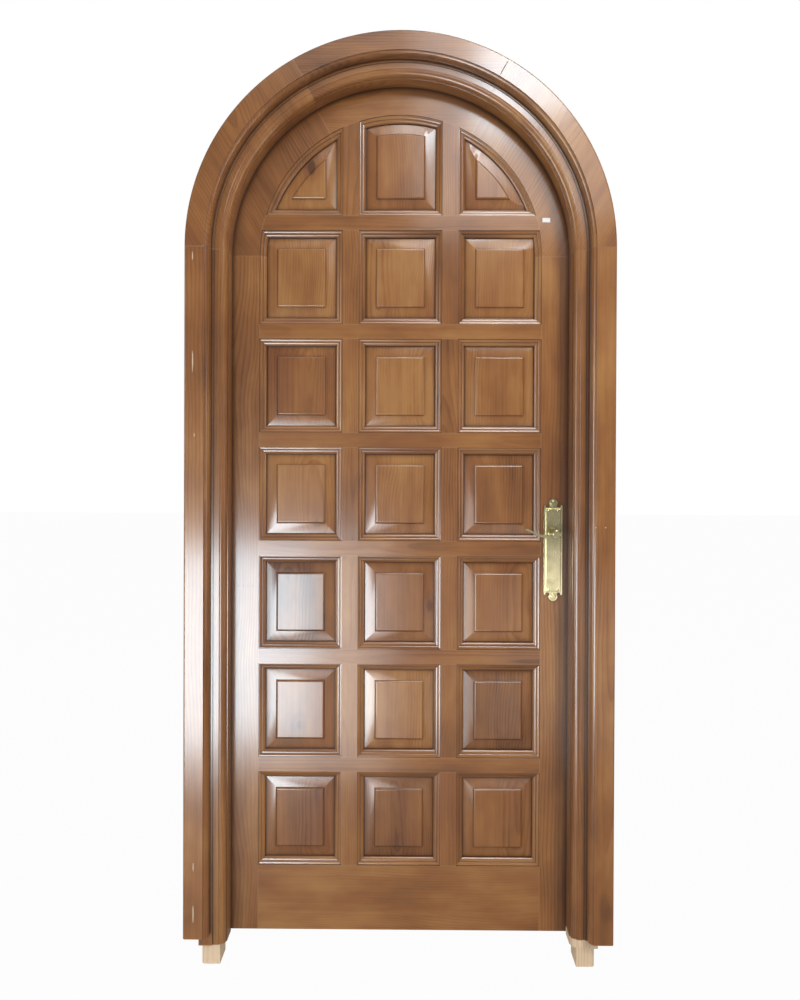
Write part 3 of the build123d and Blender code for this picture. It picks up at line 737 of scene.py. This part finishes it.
class DOOR_OT_panels(bpy.types.Operator):
    """Dress the raised and fielded panels"""

    bl_idname = "door.panels"
    bl_label = "Panels"

    def execute(self, context):
        pine = timber_material("Stained pine")
        for seed, node in enumerate(PANEL_NODES):
            dress_board(node, UPRIGHT, 100 + seed, pine, 0.9)
        return {"FINISHED"}


class DOOR_OT_frame_boards(bpy.types.Operator):
    """Dress the arched frame and its architrave"""

    bl_idname = "door.frame_boards"
    bl_label = "Frame Boards"

    def execute(self, context):
        pine = timber_material("Stained pine")
        for seed, (node, grain) in enumerate(FRAME_BOARDS.items()):
            dress_board(node, grain, 200 + seed, pine)
        return {"FINISHED"}


class DOOR_OT_jambs(bpy.types.Operator):
    """Dress the jambs, whose horns were never stained"""

    bl_idname = "door.jambs"
    bl_label = "Jambs"

    def execute(self, context):
        left = timber_material("Stained pine above a raw foot", RAW_TOP_LEFT)
        right = timber_material("Stained pine above a raw end", RAW_TOP_RIGHT, RAW_FADE_RIGHT)
        for seed, (node, pine) in enumerate(zip(JAMB_NODES, (left, right))):
            dress_board(node, UPRIGHT, 300 + seed, pine)
        return {"FINISHED"}


# Metal


class DOOR_OT_handles(bpy.types.Operator):
    """Dress the handle plates and levers"""

    bl_idname = "door.handles"
    bl_label = "Handles"

    def execute(self, context):
        metal = context.scene.door_metal
        for node in HANDLE_NODES:
            width = metal.edge_round * (3.0 if node.startswith("lever") else 1.0)
            round_edges(dressed_copy(node, brass_material()), width, 30.0)
        return {"FINISHED"}


def screw_head(bm, centre, outward, radius, height, slot_angle):
    """Add an oval screw head with a slot to a bmesh, standing outward from a face."""
    already = set(bm.verts)
    turn = outward.to_track_quat("Z", "Y").to_matrix().to_4x4()
    spin = Matrix.Rotation(slot_angle, 4, "Z")
    rings = ((1.0, 0.0), (0.96, 0.3), (0.8, 0.62), (0.55, 0.85), (0.28, 0.97))
    corners = 32
    loops = []
    for share, rise in rings:
        loop = []
        for corner in range(corners):
            angle = 2 * math.pi * (corner + 0.5) / corners
            x = share * radius * math.cos(angle)
            y = share * radius * math.sin(angle)
            loop.append(bm.verts.new((x, y, rise * height)))
        loops.append(loop)
    bm.faces.new(reversed(loops[0]))
    for lower, upper in zip(loops, loops[1:]):
        for corner in range(corners):
            after = (corner + 1) % corners
            bm.faces.new((lower[corner], lower[after], upper[after], upper[corner]))
    bm.faces.new(loops[-1])
    made = [vert for vert in bm.verts if vert not in already]
    half = radius * 0.14
    for side in (-half, half):
        geom = list(made)
        geom += list({edge for vert in made for edge in vert.link_edges})
        geom += list({face for vert in made for face in vert.link_faces})
        bmesh.ops.bisect_plane(bm, geom=geom, plane_co=(0, side, 0), plane_no=(0, 1, 0))
        made = [vert for vert in bm.verts if vert not in already]
    slot = [
        face
        for face in {face for vert in made for face in vert.link_faces}
        if face.normal.z > 0.2
        and abs(face.calc_center_median().y) < half
        and face.calc_center_median().z > height * 0.2
    ]
    if slot:
        bmesh.ops.inset_region(bm, faces=slot, thickness=0.00005, depth=-height * 0.45)
    made = [vert for vert in bm.verts if vert not in already]
    place = Matrix.Translation(centre) @ turn @ spin
    bmesh.ops.transform(bm, matrix=place, verts=made)


def screws_piece(name, spots, outward, radius, height, body, slot, material, seed):
    """One piece that holds several screw heads of the same kind."""
    chance = random.Random(seed)
    bm = bmesh.new()
    for spot in spots:
        screw_head(bm, Vector(spot), Vector(outward), radius, height, chance.uniform(0, 3))
    piece = new_piece(name, bm, body, slot, material)
    piece.data.shade_smooth()
    piece.data.set_sharp_from_angle(angle=math.radians(40))
    return piece


class DOOR_OT_handle_screws(bpy.types.Operator):
    """Add the screws that hold the handle plates"""

    bl_idname = "door.handle_screws"
    bl_label = "Handle Screws"

    def execute(self, context):
        metal = context.scene.door_metal
        for node, outward in (("plate_front", -1), ("plate_back", 1)):
            low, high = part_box(node)
            middle = (low.x + high.x) / 2
            face = low.y + PLATE_SCREW_FACE if outward < 0 else high.y - PLATE_SCREW_FACE
            spots = [
                (middle + side * PLATE_SCREW_SIDE, face, z)
                for z in (low.z + PLATE_SCREW_END, high.z - PLATE_SCREW_END)
                for side in (-1, 1)
            ]
            screws_piece(
                f"Screws_of_{node}",
                spots,
                (0, outward, 0),
                metal.screw_radius,
                metal.screw_radius * 0.55,
                "leaf",
                "handle_brass",
                brass_material(),
                7,
            )
        return {"FINISHED"}


class DOOR_OT_hinges(bpy.types.Operator):
    """Dress the hinges, their pins and their screws"""

    bl_idname = "door.hinges"
    bl_label = "Hinges"

    def execute(self, context):
        metal = context.scene.door_metal
        steel = steel_material("Hinge steel", 0.42, 0.8)
        for node in HINGE_NODES:
            round_edges(dressed_copy(node, steel), metal.edge_round * 0.6, 30.0)
        return {"FINISHED"}


class DOOR_OT_latch(bpy.types.Operator):
    """Dress the latch, its case, forend and strike, and add their screws"""

    bl_idname = "door.latch"
    bl_label = "Latch"

    def execute(self, context):
        metal = context.scene.door_metal
        steel = steel_material("Latch steel", 0.33, 0.35)
        for node in LOCK_NODES:
            round_edges(dressed_copy(node, steel), metal.edge_round * 0.5, 30.0)
        for node, outward, body in (("forend", 1, "leaf"), ("strike_plate", -1, "frame")):
            low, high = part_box(node)
            face = high.x - LOCK_SCREW_FACE if outward > 0 else low.x + LOCK_SCREW_FACE
            middle = (low.y + high.y) / 2
            heights = (low.z + LOCK_SCREW_END, high.z - LOCK_SCREW_END)
            spots = [(face, middle, z) for z in heights]
            screws_piece(
                f"Screws_of_{node}",
                spots,
                (outward, 0, 0),
                LOCK_SCREW_RADIUS,
                LOCK_SCREW_HEIGHT,
                body,
                "lock_steel",
                steel,
                11,
            )
        return {"FINISHED"}


# Marks of use


def flake(bm, centre, width, height, seed, lean=0.0):
    """Add a thin irregular flake to a bmesh, facing the front and leaning to the right."""
    chance = random.Random(seed)
    made = bmesh.ops.create_circle(bm, cap_ends=True, segments=14, radius=0.5)["verts"]
    for vert in made:
        vert.co *= chance.uniform(0.62, 1.0)
    shape = Matrix.Translation(centre) @ Matrix.Rotation(lean, 4, "Y")
    shape = shape @ Matrix.Rotation(math.radians(90), 4, "X")
    shape = shape @ Matrix.Diagonal((width, height, 1, 1))
    bmesh.ops.transform(bm, matrix=shape, verts=made)
    faces = list({face for vert in made for face in vert.link_faces})
    grown = bmesh.ops.extrude_face_region(bm, geom=faces)["geom"]
    verts = [item for item in grown if isinstance(item, bmesh.types.BMVert)]
    bmesh.ops.translate(bm, verts=verts, vec=(0, MARK_THICKNESS, 0))
    bmesh.ops.recalc_face_normals(bm, faces=bm.faces)


class DOOR_OT_marks(bpy.types.Operator):
    """Add the blank label, the chips, the filled nail holes and the opened joint"""

    bl_idname = "door.marks"
    bl_label = "Marks of Use"

    def execute(self, context):
        label = bmesh.new()
        bmesh.ops.create_cube(label, size=1.0)
        shape = Matrix.Translation((0.3480, LEAF_FRONT - 0.00015, 1.7545))
        shape = shape @ Matrix.Rotation(math.radians(2), 4, "Y")
        shape = shape @ Matrix.Diagonal((0.0185, 0.0003, 0.0105, 1))
        bmesh.ops.transform(label, matrix=shape, verts=label.verts)
        corners = [
            edge
            for edge in label.edges
            if abs((edge.verts[0].co - edge.verts[1].co).y) > 0.0002
        ]
        bmesh.ops.bevel(
            label,
            geom=corners,
            offset=0.001,
            affect="EDGES",
            segments=3,
            profile=0.5,
            material=-1,
        )
        paper = small_material("Blank label", (0.86, 0.86, 0.84), 0.1, 0.6)
        new_piece("Blank_label", label, "leaf", "stained_pine", paper)

        bare = small_material("Bare wood", (0.66, 0.50, 0.34), 0.5, 0.7)
        chips = bmesh.new()
        spots = (
            (-0.4765, 1.645, 0.003, 0.022),
            (-0.4755, 1.405, 0.0035, 0.060),
            (-0.4715, 1.235, 0.003, 0.010),
            (-0.4715, 0.240, 0.003, 0.028),
            (-0.4715, 0.135, 0.004, 0.050),
            (0.4500, 1.026, 0.0035, 0.0035),
            (0.4720, 1.026, 0.0035, 0.0035),
        )
        for seed, (x, z, width, height) in enumerate(spots):
            flake(chips, Vector((x, LEG_FRONT - MARK_STANDOFF, z)), width, height, seed)
        new_piece("Chips_in_stain", chips, "frame", "stained_pine", bare)

        dark = small_material("Nail filler", (0.05, 0.025, 0.015), 0.3, 0.5)
        nails = bmesh.new()
        for seed, x in enumerate((-0.386, -0.375, -0.364, -0.353)):
            spot = Vector((x, LEAF_FRONT - MARK_STANDOFF, 0.876))
            flake(nails, spot, 0.0030, 0.0030, 40 + seed)
        new_piece("Filled_nail_holes", nails, "leaf", "stained_pine", dark)

        joint = bmesh.new()
        lean = math.radians(30)
        x = ARCH_FLAT_RADIUS * math.sin(lean)
        z = SPRING + ARCH_FLAT_RADIUS * math.cos(lean)
        spot = Vector((x, LEG_FRONT - MARK_STANDOFF, z))
        flake(joint, spot, 0.0030, 0.046, 60, lean)
        new_piece("Opened_joint", joint, "frame", "stained_pine", dark)
        return {"FINISHED"}


# Stage


def light_panel(name, place, aim, width, height, radiance, colour, reach="all"):
    """A soft window of a given radiance, turned to a point.

    reach keeps it to the varnish ("sheen") or to what lies under it ("fill").
    """
    lamp = bpy.data.lights.new(name, "AREA")
    lamp.shape = "RECTANGLE"
    lamp.size = width
    lamp.size_y = height
    lamp.energy = radiance * math.pi * width * height
    lamp.color = colour
    panel = bpy.data.objects.new(name, lamp)
    panel.location = place
    look = Vector(aim) - Vector(place)
    panel.rotation_euler = look.to_track_quat("-Z", "Y").to_euler()
    panel.visible_camera = False
    panel.visible_diffuse = reach != "sheen"
    panel.visible_glossy = reach != "fill"
    bpy.context.scene.collection.objects.link(panel)


class DOOR_OT_stage(bpy.types.Operator):
    """Set up the floor, the light and the camera"""

    bl_idname = "door.stage"
    bl_label = "Stage"

    def execute(self, context):
        stage = context.scene.door_stage
        floor = bmesh.new()
        bmesh.ops.create_grid(floor, x_segments=1, y_segments=1, size=1.0)
        shape = Matrix.Translation((0, 8.8, 0)) @ Matrix.Diagonal((10, 10, 1, 1))
        bmesh.ops.transform(floor, matrix=shape, verts=floor.verts)
        mesh = bpy.data.meshes.new("Floor")
        floor.to_mesh(mesh)
        floor.free()
        ground = bpy.data.objects.new("Floor", mesh)
        context.scene.collection.objects.link(ground)
        graph = Graph(bpy.data.materials.new("Pale floor"))
        path = graph.node("ShaderNodeLightPath", None, None, "Is Camera Ray")
        soft = graph.node("ShaderNodeBsdfDiffuse", None, {"Color": (0.50, 0.50, 0.50, 1)})
        white = graph.node("ShaderNodeEmission", None, {"Strength": 1.0})
        mixed = graph.node("ShaderNodeMixShader", None, {0: path * 0.97, 1: soft, 2: white})
        mesh.materials.append(graph.finish(mixed))

        # White to the camera, a soft room to everything else
        context.scene.world = bpy.data.worlds.new("Room")
        graph = Graph(context.scene.world)
        camera_ray = graph.node("ShaderNodeLightPath", None, None, "Is Camera Ray")
        through_ray = graph.node("ShaderNodeLightPath", None, None, "Is Transmission Ray")
        soft, white = (
            graph.node("ShaderNodeBackground", None, {"Color": colour, "Strength": strength})
            for colour, strength in (
                ((1.0, 0.985, 0.96, 1), stage.room_strength),
                ((1, 1, 1, 1), 1.0),
            )
        )
        seen = camera_ray.most(through_ray)
        mixed = graph.node("ShaderNodeMixShader", None, {0: seen, 1: soft, 2: white})
        graph.finish(mixed, "ShaderNodeOutputWorld")

        room = stage.window_strength
        glare = stage.glare_strength
        cool = (0.90, 0.96, 1.0)
        sky_blue = (0.72, 0.89, 1.0)
        warm = (1.0, 0.985, 0.95)
        for name, place, width, height, radiance, colour in (
            ("Low_window_core", (-0.89, -1.7, 0.38), 0.62, 0.80, glare * 0.65, sky_blue),
            ("Low_window", (-0.80, -1.7, 0.38), 0.80, 0.86, glare * 0.50, sky_blue),
            ("Low_window_edge", (-0.70, -2.3, 0.10), 1.26, 1.5, glare * 0.19, cool),
            ("High_window", (0.44, -1.2, 2.58), 0.34, 0.26, glare * 0.85, sky_blue),
            ("High_window_edge", (0.42, -1.25, 2.46), 0.75, 0.75, glare * 0.16, cool),
            ("Right_window", (0.80, -2.3, 0.15), 0.8, 0.85, 1.1, warm),
            ("Plate_glow", (0.74, -2.3, 0.50), 0.32, 0.22, 3.0, warm),
            ("Left_sheen", (-2.4, -1.1, 1.0), 0.35, 1.7, 12.0, cool),
            ("Right_sheen", (2.4, -1.1, 1.0), 0.35, 1.7, 6.0, cool),
            ("Skylight", (0.60, -0.9, 3.3), 1.5, 0.7, 9.0, cool),
        ):
            aim = (place[0], 0, place[2]) if place[2] < 1 else (0.35, 0, 1.95)
            light_panel(name, place, aim, width, height, radiance, colour, "sheen")
        for name, place, aim, width, height, radiance, colour, reach in (
            ("Left_window", (-2.6, -1.3, 1.3), (0, 0, 1.1), 1.2, 1.9, room * 2.8, cool, "all"),
            ("High_fill", (1.7, -2.5, 2.9), (0, 0, 1.2), 0.6, 0.6, room * 31.0, warm, "fill"),
            ("Right_fill", (1.7, -2.0, 1.2), (0, 0, 1.1), 0.6, 0.9, room * 9.0, warm, "fill"),
            ("Low_fill", (-1.4, -1.6, 0.3), (-0.2, 0, 0.2), 0.6, 0.5, room * 9.0, warm, "fill"),
            ("Ceiling", (0.3, -1.6, 3.6), (0, 0, 1.0), 2.6, 1.6, room * 1.4, warm, "all"),
            ("Back_window", (-1.0, 3.2, 2.3), (0, 0, 1.0), 1.6, 1.6, room * 2.5, warm, "all"),
        ):
            light_panel(name, place, aim, width, height, radiance, colour, reach)

        data = bpy.data.cameras.new("Camera")
        data.sensor_fit = "VERTICAL"
        data.sensor_height = 36.0
        data.lens = stage.lens
        data.shift_y = stage.rise
        camera = bpy.data.objects.new("Camera", data)
        camera.matrix_world = (
            Matrix.Translation(stage.camera_place)
            @ Matrix.Rotation(stage.camera_turn, 4, "Z")
            @ Matrix.Rotation(math.radians(90) - stage.camera_pitch, 4, "X")
            @ Matrix.Rotation(stage.camera_roll, 4, "Z")
        )
        context.scene.collection.objects.link(camera)
        context.scene.camera = camera
        context.scene.view_settings.view_transform = "Standard"
        return {"FINISHED"}


OPERATORS = (
    DOOR_OT_leaf_boards,
    DOOR_OT_panels,
    DOOR_OT_frame_boards,
    DOOR_OT_jambs,
    DOOR_OT_handles,
    DOOR_OT_handle_screws,
    DOOR_OT_hinges,
    DOOR_OT_latch,
    DOOR_OT_marks,
    DOOR_OT_stage,
)


class DOOR_PT_sidebar(bpy.types.Panel):
    """Settings and steps of the door"""

    bl_idname = "DOOR_PT_sidebar"
    bl_label = "Arched Door"
    bl_space_type = "VIEW_3D"
    bl_region_type = "UI"
    bl_category = "Door"

    def draw(self, context):
        for group in (
            context.scene.door_timber,
            context.scene.door_metal,
            context.scene.door_stage,
        ):
            box = self.layout.box()
            for name in group.bl_rna.properties.keys():
                if name not in ("rna_type", "name"):
                    box.prop(group, name)
        for operator in OPERATORS:
            self.layout.operator(operator.bl_idname)


CLASSES = (
    DoorTimberSettings,
    DoorMetalSettings,
    DoorStageSettings,
    *OPERATORS,
    DOOR_PT_sidebar,
)


def register():
    """Add the classes and their settings."""
    for cls in CLASSES:
        bpy.utils.register_class(cls)
    scene = bpy.types.Scene
    scene.door_timber = bpy.props.PointerProperty(type=DoorTimberSettings)
    scene.door_metal = bpy.props.PointerProperty(type=DoorMetalSettings)
    scene.door_stage = bpy.props.PointerProperty(type=DoorStageSettings)


def unregister():
    """Take the classes and their settings away."""
    del bpy.types.Scene.door_stage
    del bpy.types.Scene.door_metal
    del bpy.types.Scene.door_timber
    for cls in reversed(CLASSES):
        bpy.utils.unregister_class(cls)


def main():
    """Dress the model piece by piece and set up the stage."""
    register()
    bpy.ops.door.leaf_boards()
    bpy.ops.door.panels()
    bpy.ops.door.frame_boards()
    bpy.ops.door.jambs()
    bpy.ops.door.handles()
    bpy.ops.door.handle_screws()
    bpy.ops.door.hinges()
    bpy.ops.door.latch()
    bpy.ops.door.marks()
    bpy.ops.door.stage()


if __name__ == "__main__":
    main()
